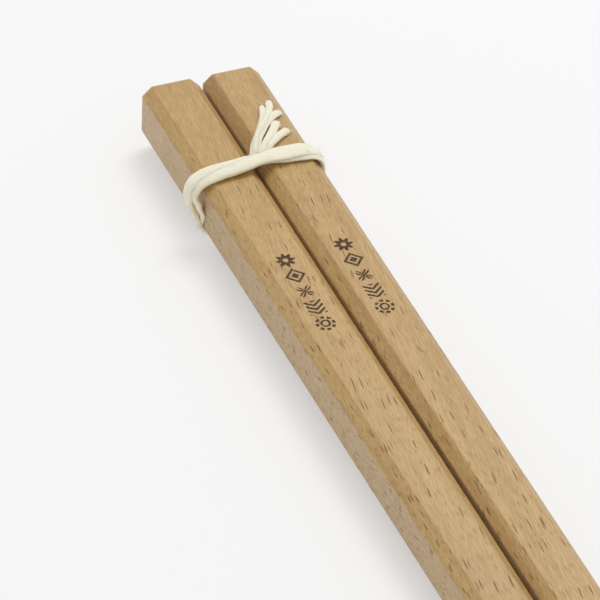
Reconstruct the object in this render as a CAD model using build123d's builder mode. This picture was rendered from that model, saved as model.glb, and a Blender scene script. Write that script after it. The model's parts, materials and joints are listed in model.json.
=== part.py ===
"""A pair of square wooden chopsticks with chamfered edges, tied near the butt with a soft cotton cord.

Millimetres. +X runs along the sticks towards the tips, +Y goes across the pair and +Z points up. The origin
lies on the surface the pair rests on, midway between the sticks and halfway along them. The sticks rest on
their tips at one end and on the cord that passes under them at the other.
"""

import os
from math import pi, radians, tan

from build123d import *

os.makedirs("parts", exist_ok=True)

# The sticks: square in section, thicker at the butt, each long edge cut back by a chamfer.
stick_length = 230.0
butt_width = 8.0
tip_width = 5.4
butt_chamfer = 1.3
tip_chamfer = 1.05
edge_round = 0.35
butt_end_round = 0.8
tip_end_round = 0.5

# The pair: the inner faces are almost parallel, held apart by the cord that is squeezed between them.
butt_gap = 0.64
tip_gap = 1.1

# The tie: one length of soft cord round both sticks. Both ends come to the gap and are squeezed flat in it.
cord_diameter = 1.6
cord_clearance = 0.05
tie_from_butt = 20.0
squeezed_width = 2.3

butt_x = -stick_length / 2
tip_x = stick_length / 2
tie_x = butt_x + tie_from_butt

# The underside of the sticks clears the cord at the tie and comes down to the surface at the tips.
underside_slope = (cord_diameter + cord_clearance) / (tip_x - tie_x)
butt_underside = underside_slope * stick_length


def chamfer_plane(at_butt, at_tip, across, up):
    """The plane of one long chamfer, facing out, from the square corner that it takes off at each end."""
    butt_side = at_butt - Vector(0, 0, up * butt_chamfer)
    butt_flat = at_butt - Vector(0, across * butt_chamfer, 0)
    tip_side = at_tip - Vector(0, 0, up * tip_chamfer)
    outwards = (tip_side - butt_side).cross(butt_flat - butt_side)
    if outwards.Z * up < 0:
        outwards = -outwards
    return Plane(origin=butt_side, x_dir=tip_side - butt_side, z_dir=outwards)


def stick_solid(side):
    """One stick: side -1 has its inner face towards +Y, and side +1 towards -Y."""
    butt_inner = side * butt_gap / 2
    tip_inner = side * tip_gap / 2
    butt_outer = butt_inner + side * butt_width
    tip_outer = tip_inner + side * tip_width
    butt_top = butt_underside + butt_width
    side_view = [(butt_x, butt_underside), (tip_x, 0), (tip_x, tip_width), (butt_x, butt_top)]
    top_view = [(butt_x, butt_inner), (tip_x, tip_inner), (tip_x, tip_outer), (butt_x, butt_outer)]
    with BuildPart() as stick:
        with BuildSketch(Plane.XZ):
            with BuildLine():
                Polyline(*side_view, close=True)
            make_face()
        extrude(amount=2 * butt_width, both=True)
        with BuildSketch():
            with BuildLine():
                Polyline(*top_view, close=True)
            make_face()
        extrude(amount=2 * butt_width, mode=Mode.INTERSECT)
        for butt_y, tip_y, across in ((butt_inner, tip_inner, -side), (butt_outer, tip_outer, side)):
            for butt_z, tip_z, up in ((butt_underside, 0, -1), (butt_top, tip_width, 1)):
                at_butt = Vector(butt_x, butt_y, butt_z)
                at_tip = Vector(tip_x, tip_y, tip_z)
                split(bisect_by=chamfer_plane(at_butt, at_tip, across, up), keep=Keep.BOTTOM)
        fillet(stick.edges().filter_by(lambda edge: edge.length > stick_length / 2), edge_round)
        fillet(stick.faces().sort_by(Axis.X)[0].edges(), butt_end_round)
        fillet(stick.faces().sort_by(Axis.X)[-1].edges(), tip_end_round)
    return stick.part


for side, name in ((-1, "left_chopstick"), (1, "right_chopstick")):
    chopstick = stick_solid(side)
    chopstick.label = name
    export_step(chopstick, "parts/" + name + ".step")
    print(name, "volume", round(chopstick.volume, 1))

# The cord's route, point by point along its centre: the distance from the butt, y and z, and then the radius
# of the turn at each inner point. It starts at the cut end that lies on the right stick, runs back to the gap
# and turns down into it.
tail_route = [
    ((8.9, 5.9, 10.50), None),
    ((12.8, 3.0, 10.42), 35.0),
    ((17.9, 0.0, 10.32), 1.2),
    ((17.9, 0.0, 8.75), None),
]
# Below the sticks, where it lies on the surface, it leaves the gap, goes round the left side, which it stands
# off, over both sticks, down the right side and back under them to the gap.
floor_run_z = cord_diameter / 2
loop_route = [
    ((17.9, 0.0, 2.35), None),
    ((17.9, 0.0, floor_run_z), 1.2),
    ((20.1, -7.3, floor_run_z), 1.15),
    ((20.7, -9.4, 3.1), 4.8),
    ((20.6, -10.2, 6.1), 4.4),
    ((20.4, -9.3, 8.9), 3.4),
    ((20.0, -7.0, 10.40), 3.2),
    ((19.6, -2.4, 10.45), 75.0),
    ((19.4, 2.3, 10.38), 45.0),
    ((19.6, 7.18, 10.30), 1.15),
    ((19.8, 8.98, 8.46), 1.15),
    ((20.0, 8.98, 2.60), 1.15),
    ((20.2, 7.2, floor_run_z), 1.15),
    ((22.2, 0.0, floor_run_z), 1.2),
    ((22.2, 0.0, 2.35), None),
]
# In the gap the cord is a flat ribbon, which runs a little way into the round cord at each end.
ribbon_overlap = 0.35
hidden_end_z = 5.6


def gap_at(x):
    return butt_gap + (tip_gap - butt_gap) * (x - butt_x) / stick_length


def route_points(route):
    return [Vector(butt_x + from_butt, y, z) for (from_butt, y, z), _ in route]


def route_wire(route):
    turns = [turn for _, turn in route if turn is not None]
    with BuildLine():
        wire = FilletPolyline(*route_points(route), radius=turns)
    return wire


def print_turns(name, route):
    """The angle and radius of every turn, beside the largest radius that its two runs could take."""
    points = route_points(route)
    for index in range(1, len(points) - 1):
        run_in = points[index] - points[index - 1]
        run_out = points[index + 1] - points[index]
        angle = run_in.get_angle(run_out)
        largest = 0.45 * min(run_in.length, run_out.length) / tan(radians(angle / 2))
        print(name, index, "turn", round(angle), "radius", route[index][1], "of", round(largest, 1))


tail_wire = route_wire(tail_route)
loop_wire = route_wire(loop_route)
entry_bottom, entry_top = loop_wire @ 0, tail_wire @ 1
exit_bottom = loop_wire @ 1

with BuildPart() as tie_cord:
    for wire in (tail_wire, loop_wire):
        with BuildSketch(Plane(origin=wire @ 0, z_dir=wire % 0)):
            Circle(cord_diameter / 2)
        sweep(path=wire)
    round_volume = tie_cord.part.volume
    for foot, top_z in ((entry_bottom, entry_top.Z + ribbon_overlap), (exit_bottom, hidden_end_z)):
        ribbon_thickness = gap_at(foot.X) - 2 * cord_clearance
        ribbon_foot = Plane(origin=(foot.X, foot.Y, foot.Z - ribbon_overlap))
        with BuildSketch(ribbon_foot):
            SlotOverall(squeezed_width, ribbon_thickness)
        extrude(amount=top_z - ribbon_foot.origin.Z)

tie_cord.part.label = "tie_cord"
export_step(tie_cord.part, "parts/tie_cord.step")

round_length = tail_wire.length + loop_wire.length
cord_section = pi * cord_diameter**2 / 4
squeezed_length = entry_top.Z - entry_bottom.Z + hidden_end_z - exit_bottom.Z
print_turns("tail", tail_route)
print_turns("loop", loop_route)
print("round cord", round(round_length, 1), "mm, volume", round(round_volume, 2), "of",
      round(cord_section * round_length, 2))
print("whole cord", round(round_length + squeezed_length, 1), "mm, volume", round(tie_cord.part.volume, 2))
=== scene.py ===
import json
import random
from math import cos, exp, pi, radians, sin, sqrt

import bmesh
import bpy
from mathutils import Matrix, Vector, noise

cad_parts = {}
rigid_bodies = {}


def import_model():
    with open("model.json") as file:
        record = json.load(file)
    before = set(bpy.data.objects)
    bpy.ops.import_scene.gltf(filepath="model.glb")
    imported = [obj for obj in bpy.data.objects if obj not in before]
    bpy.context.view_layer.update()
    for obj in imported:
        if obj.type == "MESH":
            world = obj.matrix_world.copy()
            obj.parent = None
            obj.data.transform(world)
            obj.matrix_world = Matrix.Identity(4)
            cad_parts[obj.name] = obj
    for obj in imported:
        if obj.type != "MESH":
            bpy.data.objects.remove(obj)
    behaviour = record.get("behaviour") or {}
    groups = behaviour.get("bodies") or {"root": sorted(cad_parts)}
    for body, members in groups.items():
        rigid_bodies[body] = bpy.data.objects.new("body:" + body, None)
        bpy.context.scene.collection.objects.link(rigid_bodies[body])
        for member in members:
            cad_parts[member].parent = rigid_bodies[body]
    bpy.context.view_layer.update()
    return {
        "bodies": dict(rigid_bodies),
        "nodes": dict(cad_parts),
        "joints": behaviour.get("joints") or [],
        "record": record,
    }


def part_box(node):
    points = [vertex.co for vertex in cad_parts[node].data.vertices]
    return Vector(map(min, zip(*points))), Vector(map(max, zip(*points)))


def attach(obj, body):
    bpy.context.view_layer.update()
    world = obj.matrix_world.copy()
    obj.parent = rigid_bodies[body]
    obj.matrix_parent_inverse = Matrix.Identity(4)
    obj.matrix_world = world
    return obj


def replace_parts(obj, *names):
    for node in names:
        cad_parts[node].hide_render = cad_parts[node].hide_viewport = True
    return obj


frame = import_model()
mm = 0.001

buttX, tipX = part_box("left_chopstick")[0].x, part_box("left_chopstick")[1].x
stickLength = tipX - buttX
print("frame loaded, sticks", round(stickLength * 1000, 1), "mm long")

cameraView = {
    "lookAt": (-74.55 * mm, -3.34 * mm, 5 * mm),
    "azimuth": 62.92,
    "elevation": 40.85,
    "roll": 4.95,
    "distance": 312.25 * mm,
    "lens": 155.6,
}


def makeCamera(view):
    data = bpy.data.cameras.new("camera")
    camera = bpy.data.objects.new("camera", data)
    bpy.context.scene.collection.objects.link(camera)
    turn = (
        Matrix.Rotation(radians(view["azimuth"]), 4, "Z")
        @ Matrix.Rotation(radians(90 - view["elevation"]), 4, "X")
        @ Matrix.Rotation(radians(view["roll"]), 4, "Z")
    )
    back = turn @ Vector((0, 0, 1))
    camera.matrix_world = Matrix.Translation(Vector(view["lookAt"]) + back * view["distance"]) @ turn
    data.lens = view["lens"]
    data.sensor_width = 36
    data.clip_start, data.clip_end = 0.01, 20
    bpy.context.scene.camera = camera


makeCamera(cameraView)

# Points of the cord's route: distance from the butt end, then y and z, in millimetres. It starts at the
# frayed end on the right stick, goes down the gap, once round both sticks and back into the gap. The cord is
# limp and drawn taut.
cordRoute = [
    (10.6, 5.3, 10.10),
    (12.6, 4.3, 10.15),
    (15.6, 2.3, 10.30),
    (18.0, 0.1, 10.25),
    (17.7, -0.1, 8.75),
    (17.7, -0.1, 5.60),
    (17.7, -0.1, 2.35),
    (17.7, -0.1, 0.80),
    (20.4, -6.0, 0.95),
    (20.9, -7.2, 1.75),
    (21.0, -8.15, 2.9),
    (20.9, -8.8, 4.6),
    (20.5, -9.60, 6.3),
    (20.35, -9.65, 7.6),
    (20.3, -9.2, 8.8),
    (20.2, -8.5, 9.5),
    (20.2, -6.8, 10.05),
    (20.0, -4.2, 10.09),
    (19.75, -1.5, 10.24),
    (19.5, 1.4, 10.26),
    (19.5, 4.1, 10.03),
    (19.7, 6.5, 10.00),
    (19.9, 7.85, 9.35),
    (20.0, 8.43, 8.2),
    (20.0, 8.43, 2.8),
    (20.2, 7.4, 0.80),
    (22.2, -0.1, 0.80),
    (22.2, -0.1, 2.35),
    (22.2, -0.1, 4.2),
]
cordShape = {
    "diameter": 1.6 * mm,
    "length": 75 * mm,
    "plyWide": 0.98 * mm,      # half the width of one ply
    "plyThick": 0.54 * mm,     # half its thickness
    "plyApart": 0.42 * mm,     # how far each ply's centre is from the cord's line
    "lay": 34 * mm,            # length in which the two plies change places twice
    "crossesAt": 3.1 * mm,     # y on top of the right stick where one ply passes over the other
    "overlap": 0.22 * mm,      # how far one ply lifts over the other there
    "squeezed": 0.13 * mm,     # half a ply's thickness between the sticks
    "offWood": 0.02 * mm,      # least distance between the cord and the wood
    "firstInGap": 8.8 * mm,    # height below which the cord starts, under the frayed yarns
    "step": 0.25 * mm,         # distance between sections
    "plySides": 18,
}


def cordLine(route):
    curve = bpy.data.curves.new("route", "CURVE")
    curve.dimensions = "3D"
    curve.resolution_u = 12
    spline = curve.splines.new("NURBS")
    spline.points.add(len(route) - 1)
    for point, (fromButt, y, z) in zip(spline.points, route):
        point.co = (buttX + fromButt * mm, y * mm, z * mm, 1)
    spline.order_u = 3
    spline.use_endpoint_u = True
    holder = bpy.data.objects.new("route", curve)
    mesh = bpy.data.meshes.new_from_object(holder)
    line = [vertex.co.copy() for vertex in mesh.vertices]
    bpy.data.meshes.remove(mesh)
    bpy.data.objects.remove(holder)
    bpy.data.curves.remove(curve)
    return line


class Path:
    def __init__(self, points):
        self.points = points
        self.at = [0.0]
        for before, after in zip(points, points[1:]):
            self.at.append(self.at[-1] + (after - before).length)
        self.length = self.at[-1]

    def point(self, along):
        along = min(max(along, 0.0), self.length)
        index = 1
        while index < len(self.at) - 1 and self.at[index] < along:
            index += 1
        share = (along - self.at[index - 1]) / max(self.at[index] - self.at[index - 1], 1e-9)
        return self.points[index - 1].lerp(self.points[index], share)

    def direction(self, along, reach=0.4 * mm):
        return (self.point(along + reach) - self.point(along - reach)).normalized()


cordPath = Path(cordLine(cordRoute))
print("cord line", round(cordPath.length * 1000, 1), "mm")

stickShape = {
    "buttWidth": 8.0 * mm,
    "tipWidth": 5.4 * mm,
    "buttChamfer": 1.3 * mm,
    "tipChamfer": 1.05 * mm,
    "edgeRound": 0.35 * mm,
    "buttRound": 0.8 * mm,
    "tipRound": 0.5 * mm,
    "buttGap": 0.64 * mm,
    "tipGap": 1.1 * mm,
    "buttRise": 1.807 * mm,    # the underside's height at the butt, where the cord lifts the sticks
    "waver": 0.035 * mm,       # how far the sanded faces and edges stray from true
    "rightLean": 0.20 * mm,    # the right stick is pulled this much towards the left one
}


def mix(a, b, share):
    return a + (b - a) * share


def stickAt(x, side):
    # half width, chamfer and the centre of one stick's section
    share = (x - buttX) / stickLength
    half = mix(stickShape["buttWidth"], stickShape["tipWidth"], share) / 2
    chamfer = mix(stickShape["buttChamfer"], stickShape["tipChamfer"], share)
    y = side * (mix(stickShape["buttGap"], stickShape["tipGap"], share) / 2 + half)
    y -= stickShape["rightLean"] if side > 0 else 0
    z = stickShape["buttRise"] * (1 - share) + half
    return half, chamfer, y, z


def pushOutOfWood(point, clearance):
    # moves a point that lies in a stick, or nearer than clearance, straight out through the nearest face
    for side in (-1, 1):
        half, chamfer, centreY, centreZ = stickAt(point.x, side)
        y, z = point.y - centreY, point.z - centreZ
        overSide, overTop = abs(y) - half, abs(z) - half
        overChamfer = (abs(y) + abs(z) - (2 * half - chamfer)) / sqrt(2)
        depth = clearance - max(overSide, overTop, overChamfer)
        if depth > 0:
            towardsY, towardsZ = (1 if y > 0 else -1), (1 if z > 0 else -1)
            if overChamfer >= max(overSide, overTop):
                point.y += towardsY * depth / sqrt(2)
                point.z += towardsZ * depth / sqrt(2)
            elif overTop >= overSide:
                point.z += towardsZ * depth
            else:
                point.y += towardsY * depth
    return point


def makeObject(name, bm, material, smooth=True):
    mesh = bpy.data.meshes.new(name)
    bm.normal_update()
    bm.to_mesh(mesh)
    bm.free()
    mesh.materials.append(material)
    mesh.shade_smooth() if smooth else mesh.shade_flat()
    piece = bpy.data.objects.new(name, mesh)
    bpy.context.scene.collection.objects.link(piece)
    return piece


class Field:
    # a number that varies over the surface: sums of these become Math nodes
    def __init__(self, tree, socket):
        self.tree, self.socket = tree, socket

    def math(self, operation, *others):
        node = self.tree.nodes.new("ShaderNodeMath")
        node.operation = operation
        for slot, value in zip(node.inputs, (self,) + others):
            if isinstance(value, Field):
                self.tree.links.new(value.socket, slot)
            else:
                slot.default_value = value
        return Field(self.tree, node.outputs[0])

    def __add__(self, other):
        return self.math("ADD", other)

    def __sub__(self, other):
        return self.math("SUBTRACT", other)

    def __mul__(self, other):
        return self.math("MULTIPLY", other)

    def __truediv__(self, other):
        return self.math("DIVIDE", other)

    def step(self, low, high):
        # 0 below low, 1 above high, smooth between them; low may be the larger
        node = self.tree.nodes.new("ShaderNodeMapRange")
        node.interpolation_type = "SMOOTHSTEP"
        self.tree.links.new(self.socket, node.inputs["Value"])
        falling = low > high
        node.inputs["From Min"].default_value = min(low, high)
        node.inputs["From Max"].default_value = max(low, high)
        node.inputs["To Min"].default_value = 1.0 if falling else 0.0
        node.inputs["To Max"].default_value = 0.0 if falling else 1.0
        return Field(self.tree, node.outputs[0])


def newMaterial(name, roughness, specular):
    material = bpy.data.materials.new(name)
    material.use_nodes = True
    tree = material.node_tree
    shader = tree.nodes["Principled BSDF"]
    shader.inputs["Roughness"].default_value = roughness
    shader.inputs["Specular IOR Level"].default_value = specular
    return material, tree, shader


def splitVector(tree, socket):
    node = tree.nodes.new("ShaderNodeSeparateXYZ")
    tree.links.new(socket, node.inputs[0])
    return [Field(tree, output) for output in node.outputs]


def joinVector(tree, x, y, z):
    node = tree.nodes.new("ShaderNodeCombineXYZ")
    for slot, value in zip(node.inputs, (x, y, z)):
        if isinstance(value, Field):
            tree.links.new(value.socket, slot)
        else:
            slot.default_value = value
    return node.outputs[0]


def noiseField(tree, vector, scale=1.0, detail=2.0, roughness=0.5):
    node = tree.nodes.new("ShaderNodeTexNoise")
    tree.links.new(vector, node.inputs["Vector"])
    node.inputs["Scale"].default_value = scale
    node.inputs["Detail"].default_value = detail
    node.inputs["Roughness"].default_value = roughness
    return Field(tree, node.outputs["Fac"])


def cellFields(tree, vector, scale=1.0):
    # distance to the nearest of many scattered points, and a random number for each
    node = tree.nodes.new("ShaderNodeTexVoronoi")
    tree.links.new(vector, node.inputs["Vector"])
    node.inputs["Scale"].default_value = scale
    distance = Field(tree, node.outputs["Distance"])
    chance = splitVector(tree, node.outputs["Color"])[0]
    return distance, chance


def mixColours(tree, share, first, second, blend="MIX"):
    node = tree.nodes.new("ShaderNodeMix")
    node.data_type = "RGBA"
    node.blend_type = blend
    for slot, value in ((node.inputs[0], share), (node.inputs[6], first), (node.inputs[7], second)):
        if isinstance(value, Field):
            tree.links.new(value.socket, slot)
        elif isinstance(value, bpy.types.NodeSocket):
            tree.links.new(value, slot)
        elif isinstance(value, float):
            slot.default_value = value
        else:
            slot.default_value = (*value, 1.0)
    return node.outputs[2]


def addBump(tree, shader, height, distance, strength):
    node = tree.nodes.new("ShaderNodeBump")
    node.inputs["Distance"].default_value = distance
    node.inputs["Strength"].default_value = strength
    tree.links.new(height.socket, node.inputs["Height"])
    tree.links.new(node.outputs["Normal"], shader.inputs["Normal"])


woodLook = {
    "base": (0.550, 0.358, 0.140),
    "lightBand": (0.640, 0.440, 0.190),
    "darkBand": (0.440, 0.270, 0.095),
    "redTint": (0.420, 0.222, 0.075),
    "fleck": (0.165, 0.075, 0.020),
    # painted reflection: a pale greyish tan for the side faces, standing in for the white floor reflected in
    # them
    "paintedSideReflection": (0.680, 0.550, 0.385),
    # painted shade: a darker, redder brown for the groove between the sticks near the butt
    "paintedGrooveShade": (0.300, 0.160, 0.060),
    "burn": (0.058, 0.024, 0.012),
    "grainTurn": -6.0,         # degrees between the grain and the stick
    "pith": (-21.0, -34.0),    # y and z of the middle of the year rings, mm
    "ringWidth": 0.95,         # mm
    "longFleck": (3.6, 0.25),  # length and width of the space round each fleck, mm
    "shortFleck": (1.7, 0.16),
    "roughness": 0.42,
}
burnMarks = {
    "first": (35.95, 35.55),   # mm from the butt to the row's start, left stick and right stick
    "pitch": 2.95,             # from one ornament to the next
    "fromMiddle": (4.20, 3.65),    # the rows' distance from the middle of the pair
    "size": 1.18,              # about half an ornament's width
}


def burnMask(tree, x, y):
    # five small ornaments in a row on top of each stick, burnt into the wood: rosette, lozenges, four leaves,
    # chevrons and a rayed ring
    onRight = y.step(-0.01, 0.01)
    start = onRight * (burnMarks["first"][1] - burnMarks["first"][0]) + burnMarks["first"][0]
    middle = onRight * sum(burnMarks["fromMiddle"]) - burnMarks["fromMiddle"][0]
    along = (x - start) / burnMarks["pitch"]
    index = along.math("FLOOR")
    u = (along - index - 0.5) * (burnMarks["pitch"] / burnMarks["size"])
    v = (y - middle) / burnMarks["size"]
    ragged = noiseField(tree, joinVector(tree, x, y, 0.0), scale=3.2, detail=2.0)
    u = u + (ragged - 0.5) * 0.16
    v = v + (ragged - 0.5) * -0.16
    absU, absV = u.math("ABSOLUTE"), v.math("ABSOLUTE")
    r = (u * u + v * v).math("SQRT")
    angle = v.math("ARCTAN2", u)
    lozenge = absU + absV
    soft = 0.07
    petals = (r - (angle * 8.0).math("COSINE") * 0.20).step(0.86 + soft, 0.86 - soft)
    petals = petals * r.step(0.24, 0.34)
    diamonds = ((lozenge - 0.95).math("ABSOLUTE").step(0.19 + soft, 0.19 - soft)
                + lozenge.step(0.46 + soft, 0.46 - soft))
    leafLine = (angle * 2.0 + pi / 2).math("COSINE").math("ABSOLUTE")
    leaves = (r - leafLine * 1.02).step(soft, -soft) * (leafLine - 0.985).step(0.0, -0.02)
    folds = ((u + absV * 0.7 + 4.0) / 0.62).math("FRACT")
    chevrons = (folds - 0.5).math("ABSOLUTE").step(0.20, 0.28) * absV.step(0.95, 0.88) * absU.step(1.05, 0.98)
    rays = (angle * 4.0).math("COSINE").math("ABSOLUTE").step(0.45, 0.7)
    sun = (r - 0.42).math("ABSOLUTE").step(0.15, 0.08) + rays * r.step(0.68, 0.76) * r.step(1.08, 1.0)
    mask = None
    for place, shape in enumerate((petals, diamonds, leaves, chevrons, sun)):
        here = (index - float(place)).math("ABSOLUTE").step(0.5, 0.4) * shape
        mask = here if mask is None else mask + here
    return mask.math("MINIMUM", 1.0)


def makeWood(look):
    material, tree, shader = newMaterial("carbonisedBeech", look["roughness"], 0.5)
    coordinates = tree.nodes.new("ShaderNodeTexCoord")
    turned = tree.nodes.new("ShaderNodeMapping")
    turned.inputs["Rotation"].default_value = (0.0, 0.0, radians(-look["grainTurn"]))
    tree.links.new(coordinates.outputs["Object"], turned.inputs["Vector"])
    placeX, placeY = splitVector(tree, coordinates.outputs["Object"])[:2]
    placeX, placeY = (placeX - buttX) * 1000.0, placeY * 1000.0     # millimetres from the butt, and across
    grainX, grainY, grainZ = [part * 1000.0 for part in splitVector(tree, turned.outputs["Vector"])]
    normalX, normalY, normalZ = splitVector(tree, coordinates.outputs["Normal"])
    onEnd = normalX.math("ABSOLUTE").step(0.55, 0.9)

    # year rings round a pith that lies well off to the side and below
    fromPithY, fromPithZ = grainY - look["pith"][0], grainZ - look["pith"][1]
    ringRadius = (fromPithY * fromPithY + fromPithZ * fromPithZ).math("SQRT")
    sway = noiseField(tree, joinVector(tree, grainX / 45.0, grainY / 9.0, grainZ / 9.0), detail=1.0)
    ringPlace = (ringRadius + sway * 2.2) / look["ringWidth"]
    rings = noiseField(tree, joinVector(tree, grainX / 120.0, ringPlace, 0.0), detail=2.0)
    bands = noiseField(tree, joinVector(tree, grainX / 38.0, grainY / 1.5, grainZ / 1.5), detail=2.0)
    streaks = noiseField(tree, joinVector(tree, grainX / 7.0, grainY / 0.20, grainZ / 0.20), detail=3.0)
    fibres = noiseField(tree, joinVector(tree, grainX / 1.6, grainY / 0.085, grainZ / 0.085), detail=2.0)
    blotches = noiseField(tree, joinVector(tree, grainX / 5.5, grainY / 2.2, grainZ / 2.2), detail=2.0)

    # short dark flecks along the grain, few and soft near the butt
    bend = noiseField(tree, joinVector(tree, grainX / 3.0, grainY / 1.2, grainZ / 1.2), detail=1.0)
    warp = (bend - 0.5) * 0.35
    fleckCells = []
    for length, width in (look["longFleck"], look["shortFleck"]):
        place = joinVector(tree, grainX / length, (grainY + warp) / width, (grainZ + warp) / width)
        fleckCells += cellFields(tree, place)
    longDistance, longChance, shortDistance, shortChance = fleckCells
    longFlecks = (longDistance - longChance * 0.20).step(0.17, 0.04) * longChance.step(0.55, 0.85)
    shortFlecks = (shortDistance - shortChance * 0.18).step(0.18, 0.03) * shortChance.step(0.45, 0.9)
    settled = placeX.step(8.0, 30.0) * 0.60 + 0.40
    flecks = (longFlecks * 0.95).math("MAXIMUM", shortFlecks * 0.55) * settled

    colour = mixColours(tree, rings.step(0.36, 0.64), look["darkBand"], look["lightBand"])
    colour = mixColours(tree, 0.52, colour, look["base"])
    colour = mixColours(tree, bands.step(0.35, 0.70) * 0.42, colour, look["lightBand"])
    redPatches = blotches.step(0.50, 0.72) * placeX.step(40.0, 4.0)
    colour = mixColours(tree, redPatches * 0.35, colour, look["redTint"])
    # painted shade: near the butt, the right stick's inner chamfer is coloured darker and redder where it
    # faces down into the groove between the sticks
    paintedGrooveShade = (placeX - blotches * 9.0).step(15.0, 9.0) * placeY.step(0.0, 0.15) * placeY.step(2.1, 1.3)
    colour = mixColours(tree, paintedGrooveShade * 0.55, colour, look["paintedGrooveShade"])
    # painted reflection: faces that point sideways are mixed towards a pale greyish tan, in place of the
    # white floor reflected in them at a grazing angle
    colour = mixColours(tree, normalY.math("ABSOLUTE").step(0.80, 0.97) * 0.62, colour, look["paintedSideReflection"])
    colour = mixColours(tree, streaks.step(0.60, 0.34) * 0.42, colour, look["darkBand"])
    colour = mixColours(tree, streaks.step(0.56, 0.72) * 0.45, colour, look["lightBand"])
    colour = mixColours(tree, fibres.step(0.56, 0.36) * 0.50, colour, look["redTint"])
    colour = mixColours(tree, fibres.step(0.52, 0.70) * 0.55, colour, look["lightBand"])
    colour = mixColours(tree, flecks * 0.84, colour, look["fleck"])
    endPores = noiseField(tree, joinVector(tree, 0.0, grainY / 0.11, grainZ / 0.11), detail=1.0)
    endPores = endPores.step(0.56, 0.66)
    endColour = mixColours(tree, endPores * 0.45 + 0.25, colour, look["redTint"])
    colour = mixColours(tree, onEnd * 0.85, colour, endColour)

    burn = burnMask(tree, placeX, placeY) * normalZ.step(0.90, 0.97)
    scorch = noiseField(tree, joinVector(tree, placeX, placeY, 0.0), scale=2.6, detail=2.0)
    burnt = burn * (scorch.step(0.25, 0.60) * 0.20 + 0.78)
    colour = mixColours(tree, burnt, colour, look["burn"])
    tree.links.new(colour, shader.inputs["Base Color"])

    rough = (streaks - 0.5) * 0.10 + look["roughness"]
    tree.links.new((rough + burn * 0.4 + flecks * 0.3).socket, shader.inputs["Roughness"])
    height = streaks * 0.30 + fibres * 0.30 - flecks * 0.45 - burn * 0.8
    addBump(tree, shader, height, 0.06 * mm, 0.55)
    return material


cottonLook = {
    "light": (0.985, 0.915, 0.715),
    # shade is painted shade for the low places in the cotton
    "shade": (0.915, 0.825, 0.610),
    "yarns": 9,                # ridges round one ply
    "yarnPitch": 19.0,         # mm along the ply for one turn of a ridge
}


def makeCotton(look):
    # UV: u is millimetres along a ply, v is 0 to 1 round it
    material, tree, shader = newMaterial("softCotton", 0.95, 0.12)
    shader.inputs["Sheen Weight"].default_value = 0.45
    shader.inputs["Sheen Roughness"].default_value = 0.7
    shader.inputs["Subsurface Weight"].default_value = 0.30
    shader.inputs["Subsurface Radius"].default_value = (0.5 * mm, 0.4 * mm, 0.3 * mm)
    shader.inputs["Subsurface Scale"].default_value = 1.0
    coordinates = tree.nodes.new("ShaderNodeTexCoord")
    u, v = splitVector(tree, coordinates.outputs["UV"])[:2]
    fluff = noiseField(tree, coordinates.outputs["Object"], scale=3200.0, detail=3.0)
    soft = noiseField(tree, coordinates.outputs["Object"], scale=650.0, detail=3.0)
    turn = (v + u / look["yarnPitch"]) * (2 * pi)
    ridges = (turn * float(look["yarns"]) + soft * 7.0).math("SINE") * 0.5 + 0.5
    around = joinVector(tree, turn.math("COSINE") * 6.5, turn.math("SINE") * 6.5, u / 0.9)
    hairs = noiseField(tree, around, detail=4.0, roughness=0.65)
    # painted shade: the cotton is coloured darker in the low places between hairs and yarn ridges and lighter
    # on the raised ones, following the bump's height; the raised fluff is mixed lighter as well
    paintedCreaseShade = (ridges * 0.12 + hairs * 0.88 + (soft - 0.5) * 0.4).step(0.22, 0.62)
    colour = mixColours(tree, paintedCreaseShade, look["shade"], look["light"])
    colour = mixColours(tree, fluff.step(0.55, 0.8) * 0.35, colour, look["light"])
    tree.links.new(colour, shader.inputs["Base Color"])
    height = ridges * 0.08 + hairs * 0.9 + fluff * 0.5
    addBump(tree, shader, height, 0.07 * mm, 0.42)
    return material


wood = makeWood(woodLook)
cotton = makeCotton(cottonLook)


def crossCuts():
    # places along the stick where its mesh is cut, close together in the rounded ends
    cuts = []
    for turn in range(1, 9):
        share = 1 - cos(pi / 2 * turn / 8)
        cuts.append(buttX + stickShape["buttRound"] * share)
        cuts.append(tipX - stickShape["tipRound"] * share)
    steps = 52
    inside = stickLength - stickShape["buttRound"] - stickShape["tipRound"]
    cuts += [buttX + stickShape["buttRound"] + inside * step / steps for step in range(1, steps)]
    return cuts


def endInset(x):
    # how far the surface draws in towards an end because of the end's rounding
    for distance, radius in ((x - buttX, stickShape["buttRound"]), (tipX - x, stickShape["tipRound"])):
        if distance < radius:
            return radius - sqrt(max(radius**2 - (radius - distance)**2, 0.0))
    return 0.0


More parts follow.
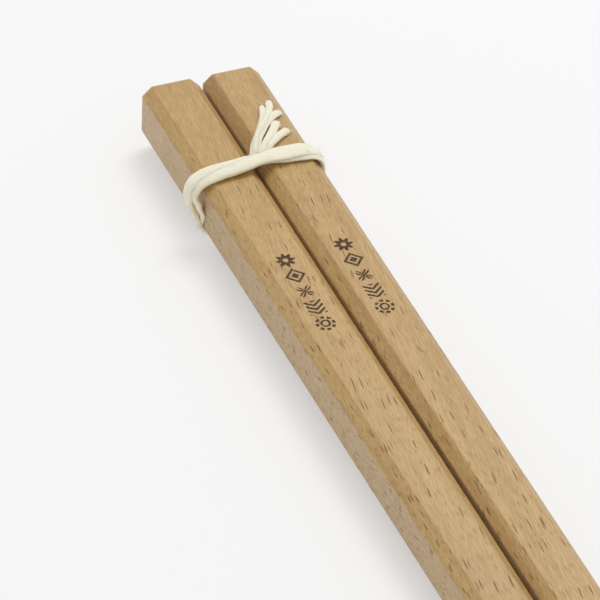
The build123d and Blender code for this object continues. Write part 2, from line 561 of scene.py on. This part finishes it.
def makeStick(name, side, material):
    bm = bmesh.new()
    bmesh.ops.create_cube(bm, size=1)
    width, chamfer = stickShape["buttWidth"], stickShape["buttChamfer"]
    bmesh.ops.scale(bm, vec=(stickLength, width, width), verts=bm.verts)
    for offset, segments in ((chamfer, 1), (stickShape["edgeRound"] * 0.414, 3)):
        longEdges = [edge for edge in bm.edges if edge.calc_length() > stickLength * 0.9]
        bmesh.ops.bevel(bm, geom=longEdges, offset=offset, affect="EDGES", segments=segments,
                        profile=0.5, material=-1, offset_type="OFFSET")
    bmesh.ops.translate(bm, vec=((buttX + tipX) / 2, 0, 0), verts=bm.verts)
    for x in crossCuts():
        bmesh.ops.bisect_plane(bm, geom=bm.verts[:] + bm.edges[:] + bm.faces[:], dist=1e-7,
                               plane_co=(x, 0, 0), plane_no=(1, 0, 0))
    knee = width / 2 - chamfer
    for vertex in bm.verts:
        half, chamferHere, centreY, centreZ = stickAt(vertex.co.x, side)
        inset = endInset(vertex.co.x)
        halfHere, chamferHere = half - inset, chamferHere - 0.586 * inset
        place = []
        for value in (vertex.co.y, vertex.co.z):
            size = abs(value)
            if size <= knee:
                size *= (halfHere - chamferHere) / knee
            else:
                size = halfHere - chamferHere + (size - knee) * chamferHere / chamfer
            place.append(size if value > 0 else -size)
        outward = Vector((0, *place)).normalized()
        where = Vector((vertex.co.x / (13 * mm), outward.y * 1.2 + side * 9, outward.z * 1.2))
        sway = noise.noise(where) * stickShape["waver"]
        vertex.co.y = place[0] + centreY + outward.y * sway
        vertex.co.z = place[1] + centreZ + outward.z * sway
    bmesh.ops.recalc_face_normals(bm, faces=bm.faces)
    stick = makeObject(name, bm, material)
    weighted = stick.modifiers.new("evenNormals", "WEIGHTED_NORMAL")
    weighted.weight = 100
    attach(stick, "root")
    return stick


for name, side, node in (("left_stick", -1, "left_chopstick"), ("right_stick", 1, "right_chopstick")):
    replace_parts(makeStick(name, side, wood), node)
print("sticks made")


def outwardNormal(point):
    # away from the wood that the cord lies on; in the gap it points across the gap
    if abs(point.y) < 1.4 * mm and 2.2 * mm < point.z < 9.0 * mm:
        return Vector((0, 1, 0))
    return Vector((0, (point.y / (8.9 * mm)) ** 5, ((point.z - 5.6 * mm) / (4.7 * mm)) ** 5)).normalized()


def framesAlong(path, step):
    # centre, direction, normal and sideways vectors at even steps, with the normals smoothed
    count = int(path.length / step) + 1
    centres = [path.point(path.length * index / (count - 1)) for index in range(count)]
    directions = [path.direction(path.length * index / (count - 1)) for index in range(count)]
    normals = []
    for centre, direction in zip(centres, directions):
        normal = outwardNormal(centre)
        normal = (normal - direction * normal.dot(direction)).normalized()
        if normals:
            carried = normals[-1] - direction * normals[-1].dot(direction)
            if normal.dot(carried) < 0:
                normal.negate()
        normals.append(normal)
    reach = int(1.6 * mm / step)
    frames = []
    for index in range(count):
        near = normals[max(index - reach, 0):index + reach + 1]
        normal = sum(near, Vector())
        normal = (normal - directions[index] * normal.dot(directions[index])).normalized()
        frames.append((centres[index], directions[index], normal, directions[index].cross(normal)))
    return frames


def addTube(bm, rings, around):
    # rings: one function per station that gives the surface point at an angle; the tube is a grid rolled up,
    # so its UV runs along it and round it
    before = set(bm.verts)
    bmesh.ops.create_grid(bm, x_segments=len(rings) - 1, y_segments=around, size=0.5, calc_uvs=True)
    uvLayer = bm.loops.layers.uv.verify()
    fresh = [vertex for vertex in bm.verts if vertex not in before]
    length = sum((rings[index](0) - rings[index - 1](0)).length for index in range(1, len(rings)))
    for face in {face for vertex in fresh for face in vertex.link_faces}:
        for loop in face.loops:
            place = loop.vert.co
            loop[uvLayer].uv = ((place.x + 0.5) * length / mm, place.y + 0.5)
    for vertex in fresh:
        station = round((vertex.co.x + 0.5) * (len(rings) - 1))
        vertex.co = rings[station](2 * pi * (vertex.co.y + 0.5))
    bmesh.ops.remove_doubles(bm, verts=fresh, dist=1e-8)


def closeEnds(bm):
    openEdges = [edge for edge in bm.edges if edge.is_boundary]
    bmesh.ops.holes_fill(bm, edges=openEdges, sides=64)


def smoothShare(value, low, high):
    share = min(max((value - low) / (high - low), 0.0), 1.0)
    return share * share * (3 - 2 * share)


def plyRing(frame, along, which, shape):
    # one ply's section: side by side with the other while the cord lies flat, thin where they cross
    centre, _, normal, sideways = frame
    turn = 2 * pi * (along - shape["crossing"]) / shape["lay"] + pi / 2 + pi * which
    crossing = abs(sin(turn)) ** 3
    y, z = centre.y / mm, centre.z / mm
    inGap = (1 - smoothShare(abs(y), 0.5, 1.6)) * smoothShare(z, 1.6, 2.6) * (1 - smoothShare(z, 8.3, 9.3))
    onTop = smoothShare(z, 8.5, 9.6)
    leftSide = smoothShare(-y, 6.5, 8.0)
    wide = 1.0 + 0.05 * smoothShare(y, 3.5, 6.5) * onTop       # a little wider towards the right edge
    wide -= 0.16 * exp(-((y - 0.2) / 1.6) ** 2) * onTop        # narrower over the gap
    wide *= 1 - 0.55 * inGap
    wide *= 1 - 0.50 * leftSide * smoothShare(-z, -8.0, -5.2)  # drawn in down the left side
    thin = 1.0 - 0.42 * smoothShare(y, 5.6, 7.8) - 0.22 * leftSide * smoothShare(-z, -8.0, -5.0)
    thin -= 0.20 * smoothShare(-y, 5.0, 6.8) * smoothShare(-z, -4.5, -2.8)
    loose = smoothShare(-y, 8.2, 9.0) * smoothShare(-z, -7.9, -6.4)     # where the plies part
    halfWide = mix(shape["plyWide"], shape["plyWide"] * 1.33, crossing) * wide
    halfThick = mix(shape["plyThick"], shape["plyThick"] * 0.80, crossing) * thin
    halfThick = mix(halfThick, shape["squeezed"], inGap)
    apart = shape["plyApart"] * wide * cos(turn)
    lift = mix(shape["overlap"] * sin(turn) * thin, 0.12 * mm * (1 if which else -1), inGap)
    middle = centre + sideways * apart + normal * lift
    middle += Vector((0.62, 0.55, 0.0) if which else (-0.15, 0.0, 0.0)) * mm * loose

    def ring(angle):
        across, up = cos(angle), sin(angle)
        lump = 1 + 0.07 * noise.noise(Vector((along / (0.9 * mm), across * 0.9 + which * 5, up * 0.9)))
        lump += 0.045 * noise.noise(Vector((along / (2.4 * mm), across * 4.5 + which * 5, up * 4.5)))
        place = middle + sideways * (halfWide * lump * across) + normal * (halfThick * lump * up)
        return pushOutOfWood(place, shape["offWood"])

    return ring


# The frayed end: five yarns that spread from the gap over the right stick. Distance from the butt, y and z in
# millimetres, then how wide and how thick each one starts and ends.
frayedYarns = [
    {"points": [(18.5, -0.3, 8.9), (17.2, -0.1, 9.85), (14.6, 1.9, 10.0), (12.0, 3.6, 9.95),
                (10.4, 4.4, 9.95), (8.9, 4.8, 9.80)],
     "wide": (0.44, 0.42), "thick": (0.46, 0.30)},
    {"points": [(18.4, 0.0, 8.9), (17.0, 0.3, 10.15), (14.4, 2.2, 10.3), (12.0, 4.2, 10.2),
                (10.2, 5.4, 10.05), (8.3, 6.1, 9.85)],
     "wide": (0.46, 0.48), "thick": (0.50, 0.32)},
    {"points": [(18.3, 0.3, 8.9), (16.9, 0.6, 10.1), (14.3, 2.5, 10.2), (12.3, 4.4, 10.1),
                (11.3, 5.6, 10.0), (11.0, 6.6, 9.85)],
     "wide": (0.44, 0.56), "thick": (0.50, 0.32)},
    {"points": [(18.3, 0.8, 8.9), (17.1, 1.6, 10.0), (15.7, 3.0, 10.15), (14.2, 4.3, 10.10),
                (12.85, 5.25, 9.95)],
     "wide": (0.50, 0.58), "thick": (0.50, 0.38)},
    {"points": [(18.2, 1.2, 8.9), (17.3, 2.1, 9.95), (16.3, 3.4, 10.0), (15.4, 4.7, 9.95),
                (14.7, 6.0, 9.85)],
     "wide": (0.52, 0.58), "thick": (0.50, 0.36)},
]
yarnStep = 0.22 * mm           # distance between a yarn's sections
yarnSides = 14


def yarnRings(yarn, seed, path):
    rings = []
    frames = framesAlong(path, yarnStep)
    for index, (centre, _, normal, sideways) in enumerate(frames):
        share = index / (len(frames) - 1)
        blunt = sqrt(max(1 - smoothShare(share, 0.93, 1.0) ** 2 * 0.85, 0.0))
        halfWide = mix(*yarn["wide"], share) * mm * blunt
        halfThick = mix(*yarn["thick"], share) * mm * blunt

        def ring(angle, centre=centre, normal=normal, sideways=sideways, halfWide=halfWide,
                 halfThick=halfThick, index=index):
            lump = 1 + 0.16 * noise.noise(Vector((index * 0.16, cos(angle) + seed * 7, sin(angle))))
            place = centre + sideways * (halfWide * lump * cos(angle))
            place += normal * (halfThick * lump * sin(angle))
            return pushOutOfWood(place, cordShape["offWood"])

        rings.append(ring)
    return rings


cordFrames = framesAlong(cordPath, cordShape["step"])
cordShape["crossing"] = next(at for at, point in zip(cordPath.at, cordPath.points)
                             if at > 20 * mm and point.z > 9 * mm and point.y > cordShape["crossesAt"])
plies = bmesh.new()
gapEntry = next(index for index, item in enumerate(cordFrames) if item[0].z < cordShape["firstInGap"])
for which in (0, 1):
    rings = [plyRing(item, cordPath.length * index / (len(cordFrames) - 1), which, cordShape)
             for index, item in enumerate(cordFrames) if index >= gapEntry]
    addTube(plies, rings, cordShape["plySides"])
yarnPaths = [Path(cordLine(yarn["points"])) for yarn in frayedYarns]
for seed, (yarn, path) in enumerate(zip(frayedYarns, yarnPaths)):
    addTube(plies, yarnRings(yarn, seed, path), yarnSides)
closeEnds(plies)
bmesh.ops.recalc_face_normals(plies, faces=plies.faces)
cordPiece = makeObject("cord_plies", plies, cotton)
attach(cordPiece, "root")
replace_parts(cordPiece, "tie_cord")
print("cord plies and frayed yarns made")

# loose fibres on the cord and at its frayed end
fuzz = {
    "seed": 7,
    "alongCord": 900,          # tries; those that would stand in the gap are left out
    "perYarn": 120,
    "thickness": 0.024 * mm,
    "length": (0.4, 1.3),      # mm
}


def addFibre(bm, root, direction, bend, length, thickness):
    # a thin three-sided hair that bends evenly and ends in a point
    steps = 5
    side = direction.cross(Vector((0.3, 0.2, 0.93))).normalized()
    over = direction.cross(side)

    def ringAt(index):
        share = index / (steps - 1)
        centre = root + direction * (length * share) + bend * (length * share * share)
        size = thickness * (1 - 0.85 * share)
        return lambda angle: centre + side * (size * cos(angle)) + over * (size * sin(angle))

    addTube(bm, [ringAt(index) for index in range(steps)], 3)


def randomDirection(draw):
    return Vector((draw.gauss(0, 1), draw.gauss(0, 1), draw.gauss(0, 1))).normalized()


def makeFuzz(settings):
    draw = random.Random(settings["seed"])
    bm = bmesh.new()
    for count in range(settings["alongCord"]):
        centre, direction, normal, sideways = cordFrames[draw.randrange(gapEntry, len(cordFrames))]
        if abs(centre.y) < 1.2 * mm and 1.5 * mm < centre.z < 9.6 * mm:
            continue
        angle = draw.uniform(-0.4, pi + 0.4)
        up = 1 if normal.dot(outwardNormal(centre)) > 0 else -1
        pulledIn = centre.y < -7.5 * mm and centre.z < 8 * mm
        reach = (0.5 if pulledIn else 1.15) * mm
        root = centre + sideways * (reach * cos(angle)) + normal * (up * 0.45 * mm * sin(angle))
        way = direction * draw.choice((-1, 1)) + randomDirection(draw) * 0.45 + normal * (up * 0.12)
        way.normalize()
        addFibre(bm, root, way, randomDirection(draw) * 0.35, draw.uniform(*settings["length"]) * mm,
                 settings["thickness"])
    for yarn, path in zip(frayedYarns, yarnPaths):
        frames = framesAlong(path, yarnStep)
        for count in range(settings["perYarn"]):
            share = 1 - abs(draw.gauss(0, 0.22))
            centre, direction, normal, sideways = frames[max(int(share * (len(frames) - 1)), 6)]
            spread = draw.uniform(-1, 1)
            root = centre + sideways * (spread * yarn["wide"][1] * 0.8 * mm)
            root += normal * (draw.uniform(-0.1, 0.3) * mm)
            way = (direction + sideways * spread * 0.35 + randomDirection(draw) * 0.30).normalized()
            addFibre(bm, root, way, randomDirection(draw) * 0.3, draw.uniform(0.5, 1.15) * mm,
                     settings["thickness"] * 1.3)
    for vertex in bm.verts:
        pushOutOfWood(vertex.co, 0.03 * mm)
        vertex.co.z = max(vertex.co.z, 0.03 * mm)
    closeEnds(bm)
    return makeObject("cord_fibres", bm, cotton)


fibres = makeFuzz(fuzz)
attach(fibres, "root")
print("loose fibres made")

studio = {
    "floorColour": (0.96, 0.96, 0.96),
    "floorGlow": 0.48,         # share of the floor that is plain white to the camera
    "worldStrength": 0.59,
    "keyPower": 3.4,
    "keyFrom": (-0.30, 0.27, 0.91),
    "keyDistance": 0.9,
    "keySize": 0.42,
}


def makeFloor(settings):
    bm = bmesh.new()
    bmesh.ops.create_grid(bm, x_segments=2, y_segments=2, size=4.0)
    material, tree, shader = newMaterial("paleFloor", 0.8, 0.1)
    shader.inputs["Base Color"].default_value = (*settings["floorColour"], 1)
    glow = tree.nodes.new("ShaderNodeEmission")
    glow.inputs["Color"].default_value = (*settings["floorColour"], 1)
    rays = tree.nodes.new("ShaderNodeLightPath")
    seen = Field(tree, rays.outputs["Is Camera Ray"]) * settings["floorGlow"]
    blend = tree.nodes.new("ShaderNodeMixShader")
    tree.links.new(seen.socket, blend.inputs[0])
    tree.links.new(shader.outputs[0], blend.inputs[1])
    tree.links.new(glow.outputs[0], blend.inputs[2])
    tree.links.new(blend.outputs[0], tree.nodes["Material Output"].inputs["Surface"])
    floor = makeObject("floor", bm, material, smooth=False)


def makeLight(settings):
    world = bpy.data.worlds.new("studio")
    world.use_nodes = True
    backdrop = world.node_tree.nodes["Background"]
    backdrop.inputs["Color"].default_value = (1.0, 1.0, 1.0, 1)
    backdrop.inputs["Strength"].default_value = settings["worldStrength"]
    bpy.context.scene.world = world
    data = bpy.data.lights.new("key", "AREA")
    data.shape = "SQUARE"
    data.size = settings["keySize"]
    data.energy = settings["keyPower"]
    lamp = bpy.data.objects.new("key", data)
    bpy.context.scene.collection.objects.link(lamp)
    way = Vector(settings["keyFrom"]).normalized()
    lamp.location = Vector(cameraView["lookAt"]) + way * settings["keyDistance"]
    lamp.rotation_euler = way.to_track_quat("Z", "Y").to_euler()


makeFloor(studio)
makeLight(studio)
bpy.context.scene.view_settings.view_transform = "Standard"
print("floor and light made")
